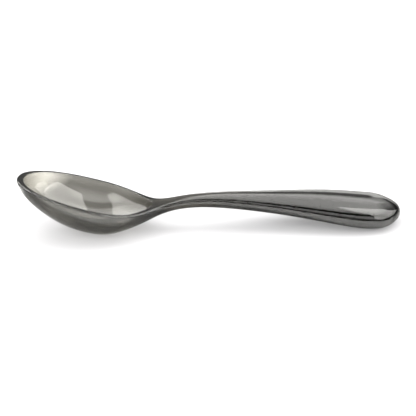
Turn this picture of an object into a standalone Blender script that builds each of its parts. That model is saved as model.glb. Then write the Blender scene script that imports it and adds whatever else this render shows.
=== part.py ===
"""Soup spoon in clear, smoke-tinted plastic, moulded in one piece.

Lengths are millimetres measured from the tip of the bowl; the mesh is written in metres.
+X runs from the bowl to the handle, +Z is up and the spoon rests on the table Z = 0.
"""
import bmesh
import bpy
import numpy as np

MM = 0.001

# Driving dimensions of the spoon's outline seen from above
LENGTH = 190.0
TIP_RADIUS = 14.0
TAIL_RADIUS = 9.6
HALF_WIDTH = ((8.0, 13.2), (20.0, 18.25), (36.0, 20.1), (52.0, 17.1), (62.0, 10.5), (70.0, 5.4),
              (82.0, 4.0), (100.0, 5.25), (130.0, 9.7), (160.0, 14.8), (174.0, 15.1), (184.0, 11.3))

# Height of the rim and of the handle's top edge above the table
RIM_HEIGHT = ((0.0, 29.2), (20.0, 23.6), (40.0, 17.7), (56.0, 14.0), (66.0, 13.25), (78.0, 15.5),
              (94.0, 17.3), (120.0, 16.9), (155.0, 15.05), (176.0, 12.75), (190.0, 11.45))

# Depth of the underside below the rounded edge, on the centre line
KEEL_DEPTH = ((4.0, 7.25), (14.0, 14.3), (30.0, 18.1), (46.0, 14.9), (60.0, 7.9), (74.0, 4.25),
              (92.0, 4.5), (130.0, 5.2), (160.0, 6.05), (176.0, 6.15), (186.0, 3.65))

# Rounded shoulder outside the top's edge: its width, its drop, and its slope where it meets the top
SHOULDER_WIDTH = ((0.0, 0.9), (60.0, 0.9), (80.0, 1.7), (100.0, 2.9), (130.0, 5.5), (160.0, 8.4),
                  (176.0, 8.4), (190.0, 7.4))
SHOULDER_DROP = ((0.0, 1.0), (60.0, 1.0), (80.0, 1.5), (100.0, 2.3), (130.0, 4.2), (160.0, 6.5),
                 (176.0, 6.6), (190.0, 5.8))
SHOULDER_SLOPE = ((0.0, 0.0), (60.0, 0.0), (110.0, 0.36), (190.0, 0.36))
ROUNDNESS = 0.55

# How full the underside is across the spoon: a half is an ellipse, less is squarer
FULLNESS = ((0.0, 0.62), (40.0, 0.45), (60.0, 0.4), (85.0, 0.38), (120.0, 0.32), (190.0, 0.32))

# The scooped bowl: flat of the rim, where the scoop starts and ends, and its depth and roundings
RIM_WIDTH = 1.9
TIP_RIM = 3.4
SCOOP_END = 65.6
SCOOP_END_RADIUS = 5.0
SCOOP_STATIONS = (14.0, 24.0, 36.0, 46.0, 55.0)
SCOOP_RATIO = 1.06
SCOOP_SHOULDER = 0.45
SCOOP_ROUNDING = 0.15

# Crown of the handle's top in shares of its half width, and the depth trimmed off below for two small flats
CROWN = 0.046
CROWN_FROM = 66.0
CROWN_FULL = 104.0
FLAT_TRIM = 0.12

# Mesh lines along the outline, rows across underside, shoulder, rim and scoop, and where the lines fan out
OUTLINE_LINES = 100
UNDER_ROWS = 12
EDGE_ROWS = 6
RIM_ROWS = 3
SCOOP_ROWS = 11
WIDEST_RIM = 0.9
CROWDING = 0.7
NECK_CROWDING = 3.0
NECK_REACH = 3.0
FAN_FRONT = (16.0, 30.0)
FAN_BACK = (164.0, 176.0)


def natural_spline(stations):
    """Return a smooth function through the stations, a natural cubic spline."""
    xs = np.array([station[0] for station in stations])
    ys = np.array([station[1] for station in stations])
    steps = np.diff(xs)
    count = len(xs)
    matrix = np.eye(count)
    right = np.zeros(count)
    for i in range(1, count - 1):
        matrix[i, i - 1] = steps[i - 1]
        matrix[i, i] = 2.0 * (steps[i - 1] + steps[i])
        matrix[i, i + 1] = steps[i]
        right[i] = 6.0 * ((ys[i + 1] - ys[i]) / steps[i] - (ys[i] - ys[i - 1]) / steps[i - 1])
    bends = np.linalg.solve(matrix, right)
    slopes = np.diff(ys) / steps - steps * (2.0 * bends[:-1] + bends[1:]) / 6.0

    def value(x):
        span = np.clip(np.searchsorted(xs, x) - 1, 0, count - 2)
        near = np.clip(x, xs[0], xs[-1]) - xs[span]
        cubic = (bends[span + 1] - bends[span]) / (6.0 * steps[span])
        return ys[span] + near * (slopes[span] + near * (bends[span] / 2.0 + near * cubic))

    return value


def closed_outline(stations, start, end, start_radius, end_radius):
    """Return the squared half width of an outline that closes with a round end at both ends.

    Near each end the square of the half width grows in step with the distance, as on a circle.
    """
    length = end - start
    shares = [(start, 0.5 * np.log(2.0 * start_radius / length))]
    for x, half in stations:
        shares.append((x, np.log(half / np.sqrt((x - start) * (end - x)))))
    shares.append((end, 0.5 * np.log(2.0 * end_radius / length)))
    curve = natural_spline(shares)

    def value(x):
        return (x - start) * (end - x) * np.exp(2.0 * curve(x))

    return value


def half_slope(squared, x):
    """Return half the slope of a squared half width along the spoon."""
    return (squared(x + 0.01) - squared(x - 0.01)) / 0.04


plan = closed_outline(HALF_WIDTH, 0.0, LENGTH, TIP_RADIUS, TAIL_RADIUS)
edge_height = natural_spline(RIM_HEIGHT)
shoulder_width = natural_spline(SHOULDER_WIDTH)
shoulder_drop = natural_spline(SHOULDER_DROP)
shoulder_slope = natural_spline(SHOULDER_SLOPE)
fullness_at = natural_spline(FULLNESS)

# Depth of the underside in proportion to the outline, so that it closes with the outline at both ends
keel_scale = natural_spline([(x, np.log(depth / plan(x) ** fullness_at(x))) for x, depth in KEEL_DEPTH])


def scoop_outline():
    """Return the squared half width of the scoop's mouth, one rim width inside the outline."""
    stations = []
    for x in SCOOP_STATIONS:
        half = np.sqrt(plan(x))
        lean = half_slope(plan, x) / half
        stations.append((x, half - RIM_WIDTH * np.sqrt(1.0 + lean * lean)))
    return closed_outline(stations, TIP_RIM, SCOOP_END, TIP_RADIUS - RIM_WIDTH, SCOOP_END_RADIUS)


mouth = scoop_outline()


def scoop_depth(x, y):
    """Return how deep the bowl is scooped below the rim, with a rounded edge at the mouth."""
    inside = np.clip(x, TIP_RIM - 1.5, SCOOP_END + 1.5)
    reach = mouth(inside)
    pull = 2.0 * np.sqrt(np.maximum(reach, 0.0) + half_slope(mouth, inside) ** 2)
    rounding = SCOOP_ROUNDING * pull
    level = reach - y * y
    soft = np.where(level > rounding, level, np.maximum(level + rounding, 0.0) ** 2 / (4.0 * rounding))
    shape = soft * (soft + SCOOP_SHOULDER * pull) ** (fullness_at(x) - 1.0)
    return SCOOP_RATIO * np.exp(keel_scale(x)) * shape


def top_height(x, y):
    """Return the height of the top: rim, scooped bowl and handle without its crown."""
    return edge_height(x) - scoop_depth(x, y) - FLAT_TRIM


def crown_height(x):
    """Return how far the handle's top rises from its edge to the centre line."""
    share = np.clip((x - CROWN_FROM) / (CROWN_FULL - CROWN_FROM), 0.0, 1.0)
    return CROWN * np.sqrt(plan(x)) * share * share * (3.0 - 2.0 * share)


def under_height(x, y):
    """Return the height of the underside, trimmed flat where it touches the table."""
    room = np.maximum(plan(x) - y * y, 0.0) ** fullness_at(x)
    height = edge_height(x) - shoulder_drop(x) - np.exp(keel_scale(x)) * room
    return np.maximum(height - FLAT_TRIM, 0.0)


def outline_points():
    """Return the mesh lines' places along the spoon, their even steps, and the steps where the fans start.

    The steps follow the outline's length and are closer where the scoop ends on the neck.
    """
    fine = 0.5 * LENGTH * (1.0 - np.cos(np.linspace(0.0, np.pi, 4001)))
    half = np.sqrt(np.maximum(plan(fine), 0.0))
    crowd = 1.0 + NECK_CROWDING * np.exp(-(((fine[1:] - SCOOP_END) / NECK_REACH) ** 2))
    run = np.concatenate(([0.0], np.cumsum(np.hypot(np.diff(fine), np.diff(half)) * crowd)))
    even = np.linspace(0.0, run[-1], OUTLINE_LINES + 1)
    return np.interp(even, run, fine), even, np.interp((FAN_FRONT[1], FAN_BACK[0]), fine, run)


def spine_feet(x, run, fan_runs):
    """Return where each mesh line meets the centre line: square in the middle, a fan at both ends."""
    front = FAN_FRONT[0] + (FAN_FRONT[1] - FAN_FRONT[0]) * run / fan_runs[0]
    back_share = (run - fan_runs[1]) / (run[-1] - fan_runs[1])
    back = FAN_BACK[0] + (FAN_BACK[1] - FAN_BACK[0]) * back_share
    return np.where(x < FAN_FRONT[1], front, np.where(x > FAN_BACK[0], back, x))


def rim_spacing(start_x, start_y, feet):
    """Return each mesh line's share from the shoulder to the scoop's mouth, and how its rows crowd there.

    A line that misses the scoop has evenly spaced rows.
    """
    steps = np.linspace(0.0, 1.0, 2001)[:, None]
    px = start_x + steps * (feet - start_x)
    py = start_y * (1.0 - steps)
    shares = steps[np.argmax(mouth(px) > py * py, axis=0), 0]
    crossed = (shares > 0.0) & (shares < WIDEST_RIM)
    even = RIM_ROWS / (RIM_ROWS + SCOOP_ROWS)
    return np.where(crossed, shares, even), np.where(crossed, 1.0 + CROWDING * (1.0 - shares), 1.0)


def half_rows():
    """Return the rows of points of the half spoon, from the underside's centre line to the top's."""
    x, run, fan_runs = outline_points()
    half = np.sqrt(np.maximum(plan(x), 0.0))
    feet = spine_feet(x, run, fan_runs)
    slope = half_slope(plan, x)
    steep = np.hypot(slope, half)
    inward = (slope / steep, -half / steep)
    wide = shoulder_width(x)
    drop = shoulder_drop(x)
    lean = 3.0 * ROUNDNESS * wide * shoulder_slope(x)
    bulge = 3.0 * ROUNDNESS - 2.0
    rows = []
    for k in range(UNDER_ROWS, 0, -1):
        share = (1.0 - (1.0 - k / UNDER_ROWS) ** 1.5) ** 2.2
        px = x + share * (feet - x)
        py = half * (1.0 - share)
        rows.append((px, py, under_height(px, py)))
    for k in range(EDGE_ROWS):
        share = 1.0 - k / EDGE_ROWS
        inset = wide * (1.0 - share) ** 2 * (1.0 - bulge * share)
        px = x + inset * inward[0]
        py = half + inset * inward[1]
        fall = lean * share * (1.0 - share) ** 2 + drop * share * share * (1.0 - bulge * (1.0 - share))
        rows.append((px, py, edge_height(px) - fall - FLAT_TRIM))
    start_x = x + wide * inward[0]
    start_y = np.maximum(half + wide * inward[1], 0.0)
    rim, crowding = rim_spacing(start_x, start_y, feet)
    rim_steps = [rim * k / RIM_ROWS for k in range(RIM_ROWS)]
    scoop_steps = [rim + (1.0 - rim) * (k / SCOOP_ROWS) ** crowding for k in range(SCOOP_ROWS + 1)]
    for share in rim_steps + scoop_steps:
        px = start_x + share * (feet - start_x)
        py = start_y * (1.0 - share)
        rise = crown_height(feet) * share * (2.0 - share)
        rows.append((px, py, top_height(px, py) + rise))
    return rows


def half_mesh(rows):
    """Return a mesh of the half spoon with y >= 0, open on the plane of symmetry."""
    mesh = bpy.data.meshes.new("spoon")
    shell = bmesh.new()
    last_line = OUTLINE_LINES
    last_row = len(rows) - 1
    corners = {}
    for row, (px, py, pz) in enumerate(rows):
        for line in range(last_line + 1):
            on_plane = line in (0, last_line)
            if on_plane and row in (0, last_row):
                continue
            y = 0.0 if on_plane or row in (0, last_row) else py[line]
            place = ((px[line] - 0.5 * LENGTH) * MM, y * MM, pz[line] * MM)
            corners[line, row] = shell.verts.new(place)
    for line in range(last_line):
        for row in range(last_row):
            ring = ((line, row), (line, row + 1), (line + 1, row + 1), (line + 1, row))
            shell.faces.new([corners[key] for key in ring if key in corners])
    shell.to_mesh(mesh)
    shell.free()
    return mesh


def smoke_plastic():
    """Return the clear, smoke-tinted moulded plastic."""
    material = bpy.data.materials.new("smoke_tinted_clear_plastic")
    material.use_nodes = True
    shader = material.node_tree.nodes["Principled BSDF"]
    shader.inputs["Base Color"].default_value = (0.21, 0.205, 0.195, 1.0)
    shader.inputs["Roughness"].default_value = 0.05
    shader.inputs["Metallic"].default_value = 0.0
    shader.inputs["IOR"].default_value = 1.49
    shader.inputs["Transmission Weight"].default_value = 0.8
    return material


def build_spoon():
    """Build the spoon as one object in its own collection."""
    for item in list(bpy.data.objects):
        bpy.data.objects.remove(item, do_unlink=True)
    collection = bpy.data.collections.new("soup_spoon")
    bpy.context.scene.collection.children.link(collection)
    spoon = bpy.data.objects.new("spoon", half_mesh(half_rows()))
    collection.objects.link(spoon)
    spoon.data.shade_smooth()
    spoon.data.materials.append(smoke_plastic())
    mirror = spoon.modifiers.new("other_half", "MIRROR")
    mirror.use_axis = (False, True, False)
    mirror.merge_threshold = 0.00001


build_spoon()
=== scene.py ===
"""Looks of a soup spoon moulded in one piece of smoke-tinted clear plastic.

Lengths in the classes are millimetres and angles degrees. The spoon's own lengths run from the bowl's tip.
+X runs from the bowl to the handle, +Z is up, and the camera looks along +Y.
"""

import logging
import math
from dataclasses import dataclass, field
from enum import Enum
from typing import Any, Callable

import bpy
import numpy as np
from mathutils import Matrix, Vector

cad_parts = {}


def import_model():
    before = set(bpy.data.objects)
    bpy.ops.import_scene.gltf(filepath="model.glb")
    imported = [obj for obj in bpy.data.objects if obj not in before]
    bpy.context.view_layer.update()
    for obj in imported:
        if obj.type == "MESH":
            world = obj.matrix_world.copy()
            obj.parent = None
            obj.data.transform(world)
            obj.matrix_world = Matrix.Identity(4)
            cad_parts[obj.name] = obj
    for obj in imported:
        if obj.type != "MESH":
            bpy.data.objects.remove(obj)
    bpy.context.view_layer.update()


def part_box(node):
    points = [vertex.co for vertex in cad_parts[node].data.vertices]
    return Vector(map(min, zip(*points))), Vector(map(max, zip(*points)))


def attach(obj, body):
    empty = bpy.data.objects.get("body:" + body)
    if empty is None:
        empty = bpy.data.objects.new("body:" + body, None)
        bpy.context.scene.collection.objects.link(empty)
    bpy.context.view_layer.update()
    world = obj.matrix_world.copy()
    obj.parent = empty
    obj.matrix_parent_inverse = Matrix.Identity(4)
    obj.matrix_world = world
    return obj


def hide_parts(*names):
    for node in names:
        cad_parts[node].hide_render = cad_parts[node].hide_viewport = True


LOG = logging.getLogger("soup_spoon")
MM = 0.001

# Tint of every light, and half the step over which a slope is measured
LAMP_TINT = "#fffefa"
SLOPE_STEP = 0.01

# Sockets of a mix node that mixes colours
MIX_FIRST = 6
MIX_SECOND = 7
MIX_RESULT = 2

Stations = tuple[tuple[float, float], ...]
Curve = Callable[[np.ndarray], np.ndarray]
Row = tuple[np.ndarray, np.ndarray, np.ndarray]


class Piece(Enum):
    """Names of the one piece, the solid it stands for, the body it rides on, and a finish name that nothing
    here uses.
    """

    SPOON = "moulded_spoon"
    CAD_NODE = "spoon"
    BODY = "root"
    SLOT = "smoke_plastic"


def linear(colour: str) -> tuple[float, float, float, float]:
    """Turn an sRGB hex colour into linear values.

    Args:
        colour: The colour as "#rrggbb".

    Returns:
        Linear red, green, blue and an alpha of one.
    """
    shares = [int(colour[i : i + 2], 16) / 255.0 for i in (1, 3, 5)]
    values = [s / 12.92 if s <= 0.04045 else ((s + 0.055) / 1.055) ** 2.4 for s in shares]
    return values[0], values[1], values[2], 1.0


def add_node(
    tree: bpy.types.NodeTree,
    kind: str,
    settings: dict[str | int, Any] | None = None,
    links: dict[str | int, bpy.types.NodeSocket] | None = None,
) -> bpy.types.Node:
    """Add a node with its settings and links.

    Args:
        tree: The tree that gets the node.
        kind: Blender's name of the node's type.
        settings: Values by name; a lower-case name is a property of the node, any other an input socket.
        links: Output sockets of other nodes, by the input socket they feed.

    Returns:
        The new node.
    """
    node = tree.nodes.new(kind)
    for name, value in (settings or {}).items():
        if isinstance(name, str) and name.islower():
            setattr(node, name, value)
        else:
            node.inputs[name].default_value = value
    for name, source in (links or {}).items():
        tree.links.new(source, node.inputs[name])
    return node


def natural_spline(stations: Stations) -> Curve:
    """Run a natural cubic spline through stations.

    Args:
        stations: Pairs of place and value, in order of place.

    Returns:
        The spline as a function of place, held at its end values outside the stations.
    """
    xs = np.array([station[0] for station in stations])
    ys = np.array([station[1] for station in stations])
    steps = np.diff(xs)
    count = len(xs)
    matrix = np.eye(count)
    right = np.zeros(count)
    for i in range(1, count - 1):
        matrix[i, i - 1] = steps[i - 1]
        matrix[i, i] = 2.0 * (steps[i - 1] + steps[i])
        matrix[i, i + 1] = steps[i]
        right[i] = 6.0 * ((ys[i + 1] - ys[i]) / steps[i] - (ys[i] - ys[i - 1]) / steps[i - 1])
    bends = np.linalg.solve(matrix, right)
    slopes = np.diff(ys) / steps - steps * (2.0 * bends[:-1] + bends[1:]) / 6.0

    def value(x: np.ndarray) -> np.ndarray:
        """Give the spline's values.

        Args:
            x: Places along the spline.

        Returns:
            The values there.
        """
        span = np.clip(np.searchsorted(xs, x) - 1, 0, count - 2)
        near = np.clip(x, xs[0], xs[-1]) - xs[span]
        cubic = (bends[span + 1] - bends[span]) / (6.0 * steps[span])
        return ys[span] + near * (slopes[span] + near * (bends[span] / 2.0 + near * cubic))

    return value


def closed_outline(stations: Stations, ends: tuple[float, float], radii: tuple[float, float]) -> Curve:
    """Run an outline with round ends through half widths.

    Args:
        stations: Pairs of place and half width.
        ends: Where the outline starts and ends.
        radii: Radius of its round start and end.

    Returns:
        The squared half width as a function of place.
    """
    start, end = ends
    shares = [(start, 0.5 * math.log(2.0 * radii[0] / (end - start)))]
    for x, half in stations:
        shares.append((x, math.log(half / math.sqrt((x - start) * (end - x)))))
    shares.append((end, 0.5 * math.log(2.0 * radii[1] / (end - start))))
    curve = natural_spline(tuple(shares))

    def value(x: np.ndarray) -> np.ndarray:
        """Give the outline's squared half widths.

        Args:
            x: Places along the outline.

        Returns:
            The squared half widths there.
        """
        return (x - start) * (end - x) * np.exp(2.0 * curve(x))

    return value


def half_slope(squared: Curve, x: np.ndarray) -> np.ndarray:
    """Give half the slope of a squared half width along the spoon.

    Args:
        squared: The squared half width as a function of place.
        x: Places along the spoon.

    Returns:
        Half the slopes there.
    """
    return (squared(x + SLOPE_STEP) - squared(x - SLOPE_STEP)) / (4.0 * SLOPE_STEP)


@dataclass(frozen=True)
class SmokeAcrylic:
    """Acrylic tinted smoke grey in the melt and moulded in a polished cavity."""

    # Thin walls are seen through, thick ones look dark, and the panels are mirrored sharply
    name: str = "smoke_acrylic_polished_moulding"
    ior: float = 1.49
    tint: str = "#bcbab4"
    density: float = 1000.0

    # Roughness of the clearest and the haziest patches, the noise values they stand for, and a patch's size
    gloss: tuple[float, float] = (0.0, 0.02)
    haze_range: tuple[float, float] = (0.3, 0.7)
    haze_patch: float = 5.0

    # Length and width of the faint waves that the flowing melt leaves, and their depth
    flow_line: tuple[float, float] = (45.0, 6.0)
    flow_depth: float = 0.006

    def material(self) -> bpy.types.Material:
        """Make the material: clear, dark where it is thick, with the faint waviness of a moulding.

        Returns:
            The new material.
        """
        material = bpy.data.materials.new(self.name)
        material.use_nodes = True
        tree = material.node_tree
        tree.nodes.clear()
        place = add_node(tree, "ShaderNodeTexCoord").outputs["Object"]
        along, across = (1.0 / (size * MM) for size in self.flow_line)
        stretched = add_node(
            tree, "ShaderNodeMapping", {"Scale": (along, across, across)}, {"Vector": place}
        )
        flow = add_node(
            tree, "ShaderNodeTexNoise", {"Scale": 1.0, "Detail": 1.0}, {"Vector": stretched.outputs[0]}
        )
        relief = add_node(
            tree,
            "ShaderNodeBump",
            {"Strength": 1.0, "Distance": self.flow_depth * MM},
            {"Height": flow.outputs[0]},
        )
        haze = add_node(
            tree,
            "ShaderNodeTexNoise",
            {"Scale": 1.0 / (self.haze_patch * MM), "Detail": 3.0},
            {"Vector": place},
        )
        gloss = add_node(
            tree,
            "ShaderNodeMapRange",
            {
                "From Min": self.haze_range[0],
                "From Max": self.haze_range[1],
                "To Min": self.gloss[0],
                "To Max": self.gloss[1],
            },
            {"Value": haze.outputs[0]},
        )
        shader = add_node(
            tree,
            "ShaderNodeBsdfPrincipled",
            {"Base Color": (1.0, 1.0, 1.0, 1.0), "IOR": self.ior, "Transmission Weight": 1.0},
            {"Roughness": gloss.outputs[0], "Normal": relief.outputs[0]},
        )
        smoke = add_node(
            tree, "ShaderNodeVolumeAbsorption", {"Color": linear(self.tint), "Density": self.density}
        )
        add_node(
            tree,
            "ShaderNodeOutputMaterial",
            links={"Surface": shader.outputs[0], "Volume": smoke.outputs[0]},
        )
        return material


@dataclass(frozen=True)
class PaperSweep:
    """Matt background paper, white to the eye, that shows in the clear plastic with painted light in front of
    the spoon and painted shade under and behind it.
    """

    name: str = "matt_paper_painted_shade"

    # Painted light and shade that only the plastic shows: white in front, a painted shadow under the spoon
    # and darker behind it, by depth behind the spoon's middle line, which is turned by the slant
    painted_shade_bands: tuple[tuple[float, str], ...] = (
        (-27.0, "#ffffff"), (-19.0, "#a4a4a4"), (14.0, "#909090"), (24.0, "#787878"), (60.0, "#787878"),
    )
    slant: float = 0.1

    # Lighter tone beyond the bowl's tip, where the painted shade ends: its tone, its distance from the
    # middle, and the side it lies on
    open_tone: str = "#e4e4e4"
    beyond_tip: tuple[float, float] = (92.0, 108.0)
    tip_side: tuple[float, float] = (-0.8, 0.6)

    # Tone and added glow that the eye sees, and the radii between which the paper fades into the backdrop
    exposed: str = "#909093"
    glow: float = 0.25
    clear: tuple[float, float] = (960.0, 1060.0)

    def painted_shade_in_plastic(self, tree: bpy.types.NodeTree) -> bpy.types.NodeSocket:
        """Paint the light and shade that the plastic shows on the paper, by depth behind the spoon and by
        distance beyond its tip.

        Args:
            tree: The paper's node tree.

        Returns:
            The graded colour.
        """
        spot = add_node(tree, "ShaderNodeNewGeometry").outputs["Position"]
        behind = add_node(
            tree, "ShaderNodeVectorMath", {"operation": "DOT_PRODUCT", 1: (-self.slant, 1.0, 0.0)}, {0: spot}
        )
        first, last = self.painted_shade_bands[0][0], self.painted_shade_bands[-1][0]
        depth = add_node(
            tree,
            "ShaderNodeMapRange",
            {"From Min": first * MM, "From Max": last * MM},
            {"Value": behind.outputs["Value"]},
        )
        # Painted shadow under the spoon, darker painted shade behind it, white painted light in front of it
        graded = add_node(tree, "ShaderNodeValToRGB", links={0: depth.outputs[0]})
        steps = graded.color_ramp.elements
        for place_behind, _ in self.painted_shade_bands[1:-1]:
            steps.new((place_behind - first) / (last - first))
        for step, (_, colour) in zip(steps, self.painted_shade_bands):
            step.color = linear(colour)
        aside = add_node(
            tree, "ShaderNodeVectorMath", {"operation": "DOT_PRODUCT", 1: (*self.tip_side, 0.0)}, {0: spot}
        )
        beyond = add_node(
            tree,
            "ShaderNodeMapRange",
            {"From Min": self.beyond_tip[0] * MM, "From Max": self.beyond_tip[1] * MM},
            {"Value": aside.outputs["Value"]},
        )
        # Painted shade gives way to the lighter tone beyond the tip, outside the painted shadow
        shaded = add_node(
            tree,
            "ShaderNodeMix",
            {"data_type": "RGBA", MIX_SECOND: linear(self.open_tone)},
            {0: beyond.outputs[0], MIX_FIRST: graded.outputs[0]},
        )
        return shaded.outputs[MIX_RESULT]

    def material(self) -> bpy.types.Material:
        """Make the material: white to the eye, with painted shade and light for other rays, fading out
        towards the rim.

        Returns:
            The new material.
        """
        material = bpy.data.materials.new(self.name)
        material.use_nodes = True
        tree = material.node_tree
        tree.nodes.clear()
        place = add_node(tree, "ShaderNodeTexCoord").outputs["Object"]
        reach = add_node(tree, "ShaderNodeVectorMath", {"operation": "LENGTH"}, {0: place})
        fade = add_node(
            tree,
            "ShaderNodeMapRange",
            {
                "interpolation_type": "SMOOTHSTEP",
                "From Min": self.clear[0] * MM,
                "From Max": self.clear[1] * MM,
            },
            {"Value": reach.outputs["Value"]},
        )
        seen = add_node(tree, "ShaderNodeLightPath").outputs["Is Camera Ray"]
        # The camera sees the plain paper tone; mirrored and refracted rays see the painted shade and light
        tone = add_node(
            tree,
            "ShaderNodeMix",
            {"data_type": "RGBA", MIX_SECOND: linear(self.exposed)},
            {0: seen, MIX_FIRST: self.painted_shade_in_plastic(tree)},
        )
        paper = add_node(tree, "ShaderNodeBsdfDiffuse", links={"Color": tone.outputs[MIX_RESULT]})
        below = add_node(tree, "ShaderNodeMath", {"operation": "MULTIPLY", 1: self.glow}, {0: seen})
        lit = add_node(tree, "ShaderNodeEmission", links={"Strength": below.outputs[0]})
        sheet = add_node(tree, "ShaderNodeAddShader", links={0: paper.outputs[0], 1: lit.outputs[0]})
        gone = add_node(tree, "ShaderNodeBsdfTransparent")
        face = add_node(
            tree,
            "ShaderNodeMixShader",
            links={0: fade.outputs[0], 1: sheet.outputs[0], 2: gone.outputs[0]},
        )
        add_node(tree, "ShaderNodeOutputMaterial", links={"Surface": face.outputs[0]})
        return material


@dataclass
class Spoon:
    """The spoon in one moulding: scooped bowl, rim, neck and handle.

    The half width at its widest station and the height of its tip are 0.001 mm less than the solid's, so that
    rounding keeps it inside the solid's box.
    """

    tip: float
    finish: SmokeAcrylic

    # Outline seen from above
    length: float = 190.0
    tip_radius: float = 14.0
    tail_radius: float = 9.6
    half_width: Stations = (
        (8.0, 13.2), (20.0, 18.25), (36.0, 20.099), (52.0, 17.1), (62.0, 10.5), (70.0, 5.4),
        (82.0, 4.0), (100.0, 5.25), (130.0, 9.7), (160.0, 14.8), (174.0, 15.1), (184.0, 11.3),
    )

    # Height of the rim and of the handle's top edge, and depth of the underside below the rounded edge
    rim_height: Stations = (
        (0.0, 29.199), (20.0, 23.6), (40.0, 17.7), (56.0, 14.0), (66.0, 13.25), (78.0, 15.5),
        (94.0, 17.3), (120.0, 16.9), (155.0, 15.05), (176.0, 12.75), (190.0, 11.45),
    )
    keel_depth: Stations = (
        (4.0, 7.25), (14.0, 14.3), (30.0, 18.1), (46.0, 14.9), (60.0, 7.9), (74.0, 4.25),
        (92.0, 4.5), (130.0, 5.2), (160.0, 6.05), (176.0, 6.15), (186.0, 3.65),
    )

    # Width and drop of the rounded shoulder outside the top's edge, and its slope where it meets the top
    shoulder_width: Stations = (
        (0.0, 0.9), (60.0, 0.9), (80.0, 1.7), (100.0, 2.9),
        (130.0, 5.5), (160.0, 8.4), (176.0, 8.4), (190.0, 7.4),
    )
    shoulder_drop: Stations = (
        (0.0, 1.0), (60.0, 1.0), (80.0, 1.5), (100.0, 2.3),
        (130.0, 4.2), (160.0, 6.5), (176.0, 6.6), (190.0, 5.8),
    )
    shoulder_slope: Stations = ((0.0, 0.0), (60.0, 0.0), (110.0, 0.36), (190.0, 0.36))
    roundness: float = 0.55

    # How full the underside is across the spoon: a half is an ellipse, less is squarer
    fullness: Stations = ((0.0, 0.62), (40.0, 0.45), (60.0, 0.4), (85.0, 0.38), (120.0, 0.32), (190.0, 0.32))

    # The scooped bowl: width of the rim, where the scoop starts and ends, its depth and roundings, and how
    # far past its ends the depth is still worked out
    rim_width: float = 1.9
    tip_rim: float = 3.4
    scoop_end: float = 65.6
    scoop_end_radius: float = 5.0
    scoop_stations: tuple[float, ...] = (14.0, 24.0, 36.0, 46.0, 55.0)
    scoop_ratio: float = 1.06
    scoop_shoulder: float = 0.45
    scoop_rounding: float = 0.15
    scoop_margin: float = 1.5

    # Crown of the handle's top in shares of its half width, and the depth trimmed off for two small flats
    crown: float = 0.046
    crown_from: float = 66.0
    crown_full: float = 104.0
    flat_trim: float = 0.12

    # Mesh lines along the outline, rows across, and where the lines fan out at both ends
    lines: int = 360
    under_rows: int = 52
    edge_rows: int = 12
    rim_rows: int = 14
    scoop_rows: int = 50
    widest_rim: float = 0.9
    crowding: float = 0.7
    neck_crowding: float = 3.0
    neck_reach: float = 3.0
    fan_front: tuple[float, float] = (16.0, 30.0)
    fan_back: tuple[float, float] = (164.0, 176.0)

    # How the underside's rows crowd, samples along the outline and along a mesh line, and the halves' weld
    under_crowding: tuple[float, float] = (1.5, 2.2)
    outline_samples: int = 4001
    line_samples: int = 2001
    weld: float = 0.01

    plan: Curve = field(init=False)
    edge_height: Curve = field(init=False)
    edge_inset: Curve = field(init=False)
    edge_drop: Curve = field(init=False)
    edge_slope: Curve = field(init=False)
    fullness_at: Curve = field(init=False)
    keel_scale: Curve = field(init=False)
    mouth: Curve = field(init=False)

    def __post_init__(self) -> None:
        """Work out the curves that the surfaces follow."""
        self.plan = closed_outline(self.half_width, (0.0, self.length), (self.tip_radius, self.tail_radius))
        self.edge_height = natural_spline(self.rim_height)
        self.edge_inset = natural_spline(self.shoulder_width)
        self.edge_drop = natural_spline(self.shoulder_drop)
        self.edge_slope = natural_spline(self.shoulder_slope)
        self.fullness_at = natural_spline(self.fullness)
        shares = [(x, math.log(deep / self.plan(x) ** self.fullness_at(x))) for x, deep in self.keel_depth]
        self.keel_scale = natural_spline(tuple(shares))
        self.mouth = self.scoop_outline()

    def scoop_outline(self) -> Curve:
        """Work out the scoop's mouth, one rim width inside the outline.

        Returns:
            The mouth's squared half width as a function of place.
        """
        stations = []
        for x in self.scoop_stations:
            half = math.sqrt(self.plan(x))
            lean = half_slope(self.plan, x) / half
            stations.append((x, half - self.rim_width * math.sqrt(1.0 + lean * lean)))
        radii = (self.tip_radius - self.rim_width, self.scoop_end_radius)
        return closed_outline(tuple(stations), (self.tip_rim, self.scoop_end), radii)

    def scoop_depth(self, x: np.ndarray, y: np.ndarray) -> np.ndarray:
        """Give how deep the bowl is scooped below the rim, with a rounded edge at its mouth.

        Args:
            x: Places along the spoon.
            y: Places across it.

        Returns:
            The depths.
        """
        inside = np.clip(x, self.tip_rim - self.scoop_margin, self.scoop_end + self.scoop_margin)
        reach = self.mouth(inside)
        pull = 2.0 * np.sqrt(np.maximum(reach, 0.0) + half_slope(self.mouth, inside) ** 2)
        rounding = self.scoop_rounding * pull
        level = reach - y * y
        soft = np.where(level > rounding, level, np.maximum(level + rounding, 0.0) ** 2 / (4.0 * rounding))
        shape = soft * (soft + self.scoop_shoulder * pull) ** (self.fullness_at(x) - 1.0)
        return self.scoop_ratio * np.exp(self.keel_scale(x)) * shape

    def top_height(self, x: np.ndarray, y: np.ndarray) -> np.ndarray:
        """Give the height of the top: rim, scooped bowl and handle.

        Args:
            x: Places along the spoon.
            y: Places across it.

        Returns:
            The heights.
        """
        return self.edge_height(x) - self.scoop_depth(x, y) - self.flat_trim

    def crown_height(self, x: np.ndarray) -> np.ndarray:
        """Give how far the handle's top rises from its edge to the centre line.

        Args:
            x: Places along the spoon.

        Returns:
            The rises.
        """
        share = np.clip((x - self.crown_from) / (self.crown_full - self.crown_from), 0.0, 1.0)
        return self.crown * np.sqrt(self.plan(x)) * share * share * (3.0 - 2.0 * share)

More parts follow.
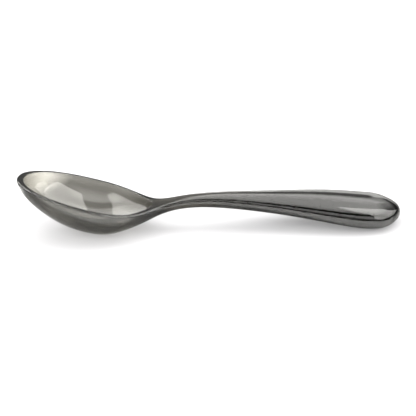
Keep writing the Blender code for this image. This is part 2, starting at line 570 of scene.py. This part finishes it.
    def under_height(self, x: np.ndarray, y: np.ndarray) -> np.ndarray:
        """Give the height of the underside, trimmed flat where it touches the table.

        Args:
            x: Places along the spoon.
            y: Places across it.

        Returns:
            The heights.
        """
        room = np.maximum(self.plan(x) - y * y, 0.0) ** self.fullness_at(x)
        height = self.edge_height(x) - self.edge_drop(x) - np.exp(self.keel_scale(x)) * room
        return np.maximum(height - self.flat_trim, 0.0)

    def outline(self) -> tuple[np.ndarray, np.ndarray, np.ndarray]:
        """Space the mesh lines evenly round the outline, closer where the scoop ends on the neck.

        Returns:
            Their places along the spoon, half widths, and feet on the centre line.
        """
        fine = 0.5 * self.length * (1.0 - np.cos(np.linspace(0.0, math.pi, self.outline_samples)))
        half = np.sqrt(np.maximum(self.plan(fine), 0.0))
        crowd = 1.0 + self.neck_crowding * np.exp(-(((fine[1:] - self.scoop_end) / self.neck_reach) ** 2))
        run = np.concatenate(([0.0], np.cumsum(np.hypot(np.diff(fine), np.diff(half)) * crowd)))
        even = np.linspace(0.0, run[-1], self.lines + 1)
        x = np.interp(even, run, fine)
        front_run, back_run = np.interp((self.fan_front[1], self.fan_back[0]), fine, run)
        front = self.fan_front[0] + (self.fan_front[1] - self.fan_front[0]) * even / front_run
        share = (even - back_run) / (run[-1] - back_run)
        back = self.fan_back[0] + (self.fan_back[1] - self.fan_back[0]) * share
        feet = np.where(x < self.fan_front[1], front, np.where(x > self.fan_back[0], back, x))
        return x, np.sqrt(np.maximum(self.plan(x), 0.0)), feet

    def rim_spacing(
        self, start: tuple[np.ndarray, np.ndarray], feet: np.ndarray
    ) -> tuple[np.ndarray, np.ndarray]:
        """Find where the mesh lines cross the scoop's mouth; a line that misses it has even rows.

        Args:
            start: Places along and across where the lines leave the shoulder.
            feet: Places along the centre line where they end.

        Returns:
            The share of each line that runs over the rim, and how its rows crowd at the mouth.
        """
        steps = np.linspace(0.0, 1.0, self.line_samples)[:, None]
        px = start[0] + steps * (feet - start[0])
        py = start[1] * (1.0 - steps)
        shares = steps[np.argmax(self.mouth(px) > py * py, axis=0), 0]
        crossed = (shares > 0.0) & (shares < self.widest_rim)
        even = self.rim_rows / (self.rim_rows + self.scoop_rows)
        return np.where(crossed, shares, even), np.where(crossed, 1.0 + self.crowding * (1.0 - shares), 1.0)

    def rows(self) -> list[Row]:
        """Lay out the half spoon's rows of points, from the underside's centre line to the top's.

        Returns:
            Each row's places along, across and up.
        """
        x, half, feet = self.outline()
        slope = half_slope(self.plan, x)
        steep = np.hypot(slope, half)
        inward = (slope / steep, -half / steep)
        wide, drop = self.edge_inset(x), self.edge_drop(x)
        lean = 3.0 * self.roundness * wide * self.edge_slope(x)
        bulge = 3.0 * self.roundness - 2.0
        centre_power, edge_power = self.under_crowding
        rows = []
        for k in range(self.under_rows, 0, -1):
            share = (1.0 - (1.0 - k / self.under_rows) ** centre_power) ** edge_power
            px = x + share * (feet - x)
            py = half * (1.0 - share)
            rows.append((px, py, self.under_height(px, py)))
        for k in range(self.edge_rows):
            share = 1.0 - k / self.edge_rows
            inset = wide * (1.0 - share) ** 2 * (1.0 - bulge * share)
            px = x + inset * inward[0]
            py = half + inset * inward[1]
            fall = lean * share * (1.0 - share) ** 2 + drop * share * share * (1.0 - bulge * (1.0 - share))
            rows.append((px, py, self.edge_height(px) - fall - self.flat_trim))
        start_x = x + wide * inward[0]
        start_y = np.maximum(half + wide * inward[1], 0.0)
        rim, crowding = self.rim_spacing((start_x, start_y), feet)
        shares = [rim * k / self.rim_rows for k in range(self.rim_rows)]
        shares += [rim + (1.0 - rim) * (k / self.scoop_rows) ** crowding for k in range(self.scoop_rows + 1)]
        for share in shares:
            px = start_x + share * (feet - start_x)
            py = start_y * (1.0 - share)
            rise = self.crown_height(feet) * share * (2.0 - share)
            rows.append((px, py, self.top_height(px, py) + rise))
        return rows

    def half_mesh(self) -> bpy.types.Mesh:
        """Skin the half spoon with y >= 0, open on the plane of symmetry.

        Returns:
            The new mesh, in metres.
        """
        rows = self.rows()
        last = len(rows) - 1
        corners: dict[tuple[int, int], int] = {}
        points = []
        for row, (px, py, pz) in enumerate(rows):
            for line in range(self.lines + 1):
                at_end = line in (0, self.lines)
                if at_end and row in (0, last):
                    continue
                y = 0.0 if at_end or row in (0, last) else py[line]
                corners[line, row] = len(points)
                points.append((px[line] * MM + self.tip, y * MM, pz[line] * MM))
        faces = []
        for line in range(self.lines):
            for row in range(last):
                ring = ((line, row), (line, row + 1), (line + 1, row + 1), (line + 1, row))
                faces.append([corners[key] for key in ring if key in corners])
        mesh = bpy.data.meshes.new(Piece.SPOON.value)
        mesh.from_pydata(points, [], faces)
        mesh.shade_smooth()
        return mesh

    def build(self) -> bpy.types.Object:
        """Build the spoon and mirror it to its whole width.

        Returns:
            The new object.
        """
        spoon = bpy.data.objects.new(Piece.SPOON.value, self.half_mesh())
        bpy.context.scene.collection.objects.link(spoon)
        mirror = spoon.modifiers.new("other_half", "MIRROR")
        mirror.use_axis = (False, True, False)
        mirror.merge_threshold = self.weld * MM
        return spoon

    def dress(self, spoon: bpy.types.Object) -> None:
        """Give the spoon its finish and set it in place of the plain solid.

        Args:
            spoon: The built spoon.
        """
        spoon.data.materials.append(self.finish.material())
        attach(spoon, Piece.BODY.value)
        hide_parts(Piece.CAD_NODE.value)


@dataclass(frozen=True)
class Softbox:
    """A flat light panel that slants beside the table.

    Top and bottom are the X and Z of its edges and reach is its span along Y, before the turn about Z.
    """

    name: str
    top: tuple[float, float]
    bottom: tuple[float, float]
    reach: tuple[float, float]
    turn: float
    radiance: float

    def build(self) -> bpy.types.Object:
        """Hang the panel so that it faces the spoon.

        Returns:
            The light's object.
        """
        upper = Vector((self.top[0], 0.0, self.top[1])) * MM
        lower = Vector((self.bottom[0], 0.0, self.bottom[1])) * MM
        light = bpy.data.lights.new(self.name, "AREA")
        light.shape = "RECTANGLE"
        light.size = (upper - lower).length
        light.size_y = (self.reach[1] - self.reach[0]) * MM
        light.energy = self.radiance * math.pi * light.size * light.size_y
        light.color = linear(LAMP_TINT)[:3]
        panel = bpy.data.objects.new(self.name, light)
        bpy.context.scene.collection.objects.link(panel)
        across = (upper - lower).normalized()
        facing = across.cross(Vector((0.0, 1.0, 0.0)))
        centre = (upper + lower) / 2.0 + Vector((0.0, (self.reach[0] + self.reach[1]) / 2.0 * MM, 0.0))
        if facing.dot(centre) > 0.0:
            across, facing = -across, -facing
        back = -facing
        facing_spoon = Matrix((across, back.cross(across), back)).transposed().to_4x4()
        swing = Matrix.Rotation(math.radians(self.turn), 4, "Z")
        panel.matrix_world = swing @ Matrix.Translation(centre) @ facing_spoon
        panel.visible_camera = False
        return panel


@dataclass(frozen=True)
class Studio:
    """Table-top studio: background paper, three side panels and light strips round the spoon."""

    paper: PaperSweep
    paper_radius: float = 1200.0
    paper_sides: int = 96
    panels: tuple[Softbox, ...] = (
        Softbox("right_softbox", (1090.0, 3000.0), (2290.0, 1150.0), (-4800.0, 600.0), 15.0, 5.4),
        Softbox("right_low_softbox", (2700.0, 1400.0), (2845.0, 750.0), (-900.0, 1700.0), 0.0, 3.0),
        Softbox("left_softbox", (-770.0, 3000.0), (-2175.0, 1150.0), (-6600.0, 2100.0), 0.0, 4.4),
    )

    # How far the paper lies behind the spoon's middle, and the air left under the spoon's flats
    paper_shift: float = 850.0
    paper_gap: float = 0.1
    backdrop: str = "#ffffff"

    # Brightness of the surroundings by angle in degrees: far horizon, overhead, then the camera's horizon
    strips: Stations = (
        (0.0, 1.0), (6.0, 1.8), (12.0, 2.3), (15.0, 1.9), (17.5, 0.45), (27.0, 0.5), (30.0, 1.7),
        (33.0, 2.8), (37.0, 4.5), (42.0, 4.3), (50.0, 4.2), (58.0, 5.0), (66.0, 5.0), (78.0, 4.8),
        (86.0, 4.2), (94.0, 3.6), (99.0, 2.0), (103.0, 0.05), (119.0, 0.05), (126.0, 3.0),
        (136.0, 3.4), (146.0, 2.8), (158.0, 1.4), (170.0, 0.05), (180.0, 0.05),
    )

    # Sideways part of a direction where the strips start to dim, where that ends, and what is left of them
    sides: tuple[float, float, float] = (0.4, 0.68, 0.12)

    def floor(self) -> bpy.types.Object:
        """Lay the background paper under the spoon.

        Returns:
            The floor's object.
        """
        mesh = bpy.data.meshes.new("background_paper")
        turns = [2.0 * math.pi * k / self.paper_sides for k in range(self.paper_sides)]
        radius = self.paper_radius * MM
        rim = [(math.cos(turn) * radius, math.sin(turn) * radius, 0.0) for turn in turns]
        mesh.from_pydata(rim, [], [tuple(range(len(rim)))])
        floor = bpy.data.objects.new("background_paper", mesh)
        floor.location = (0.0, self.paper_shift * MM, -self.paper_gap * MM)
        bpy.context.scene.collection.objects.link(floor)
        mesh.materials.append(self.paper.material())
        return floor

    def strip_light(self, tree: bpy.types.NodeTree, peak: float) -> bpy.types.NodeSocket:
        """Shape the light strips, which run along the spoon and dim towards both sides.

        Args:
            tree: The world's node tree.
            peak: Brightness of the brightest strip.

        Returns:
            The strips' colour, in shares of the peak.
        """
        place = add_node(tree, "ShaderNodeTexCoord").outputs["Generated"]
        parts = add_node(tree, "ShaderNodeSeparateXYZ", links={0: place})
        angle = add_node(
            tree, "ShaderNodeMath", {"operation": "ARCTAN2"}, {0: parts.outputs["Y"], 1: parts.outputs["Z"]}
        )
        share = add_node(
            tree,
            "ShaderNodeMath",
            {"operation": "MULTIPLY_ADD", 1: -1.0 / math.pi, 2: 0.5},
            {0: angle.outputs[0]},
        )
        around = add_node(tree, "ShaderNodeValToRGB", links={0: share.outputs[0]})
        steps = around.color_ramp.elements
        for degrees, _ in self.strips[1:-1]:
            steps.new(degrees / 180.0)
        for step, (_, bright) in zip(steps, self.strips):
            tone = bright / peak
            step.color = [tone * part for part in linear(LAMP_TINT)]
        aside = add_node(tree, "ShaderNodeMath", {"operation": "ABSOLUTE"}, {0: parts.outputs["X"]})
        inner, outer, dim = self.sides
        middle = add_node(
            tree,
            "ShaderNodeMapRange",
            {"From Min": inner, "From Max": outer, "To Min": 1.0, "To Max": dim},
            {"Value": aside.outputs[0]},
        )
        strip = add_node(
            tree,
            "ShaderNodeVectorMath",
            {"operation": "SCALE"},
            {0: around.outputs[0], "Scale": middle.outputs[0]},
        )
        return strip.outputs[0]

    def surroundings(self) -> None:
        """Make the world: light strips as the spoon mirrors them, plain white to the eye."""
        world = bpy.data.worlds.new("white_studio")
        bpy.context.scene.world = world
        world.use_nodes = True
        tree = world.node_tree
        tree.nodes.clear()
        peak = max(bright for _, bright in self.strips)
        seen = add_node(tree, "ShaderNodeLightPath").outputs["Is Camera Ray"]
        plain = [value / peak for value in linear(self.backdrop)[:3]] + [1.0]
        colour = add_node(
            tree,
            "ShaderNodeMix",
            {"data_type": "RGBA", MIX_SECOND: plain},
            {0: seen, MIX_FIRST: self.strip_light(tree, peak)},
        )
        light = add_node(tree, "ShaderNodeBackground", {"Strength": peak}, {0: colour.outputs[MIX_RESULT]})
        add_node(tree, "ShaderNodeOutputWorld", links={0: light.outputs[0]})

    def build(self) -> None:
        """Build the floor, the surroundings and the panels."""
        LOG.info("stage %s", self.floor().name)
        self.surroundings()
        for panel in self.panels:
            LOG.info("light %s", panel.build().name)


@dataclass(frozen=True)
class PhotoCamera:
    """The camera at the photograph's viewing angle, which shows nothing closer than its nearest distance."""

    lens: float = 100.0
    sensor: float = 36.0
    elevation: float = 26.0
    yaw: float = 3.73
    distance: float = 574.9
    nearest: float = 10.0
    target: tuple[float, float, float] = (-1.84, 0.0, 9.67)

    def build(self) -> bpy.types.Object:
        """Set up the camera and make it the scene's.

        Returns:
            The camera's object.
        """
        data = bpy.data.cameras.new("photo_camera")
        data.lens = self.lens
        data.sensor_width = self.sensor
        data.clip_start = self.nearest * MM
        camera = bpy.data.objects.new("photo_camera", data)
        bpy.context.scene.collection.objects.link(camera)
        rise, turn = math.radians(self.elevation), math.radians(self.yaw)
        level = math.cos(rise)
        ahead = Vector((math.sin(turn) * level, math.cos(turn) * level, -math.sin(rise)))
        camera.location = (Vector(self.target) - ahead * self.distance) * MM
        camera.rotation_mode = "QUATERNION"
        camera.rotation_quaternion = ahead.to_track_quat("-Z", "Y")
        bpy.context.scene.camera = camera
        return camera


def main() -> None:
    """Build the stage and the spoon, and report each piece."""
    logging.basicConfig(level=logging.INFO, format="%(name)s: %(message)s")
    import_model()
    bpy.context.scene.view_settings.view_transform = "Standard"
    PhotoCamera().build()
    Studio(PaperSweep()).build()
    maker = Spoon(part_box(Piece.CAD_NODE.value)[0].x, SmokeAcrylic())
    spoon = maker.build()
    maker.dress(spoon)
    LOG.info("piece %s, %d faces in its half", spoon.name, len(spoon.data.polygons))


if __name__ == "__main__":
    main()
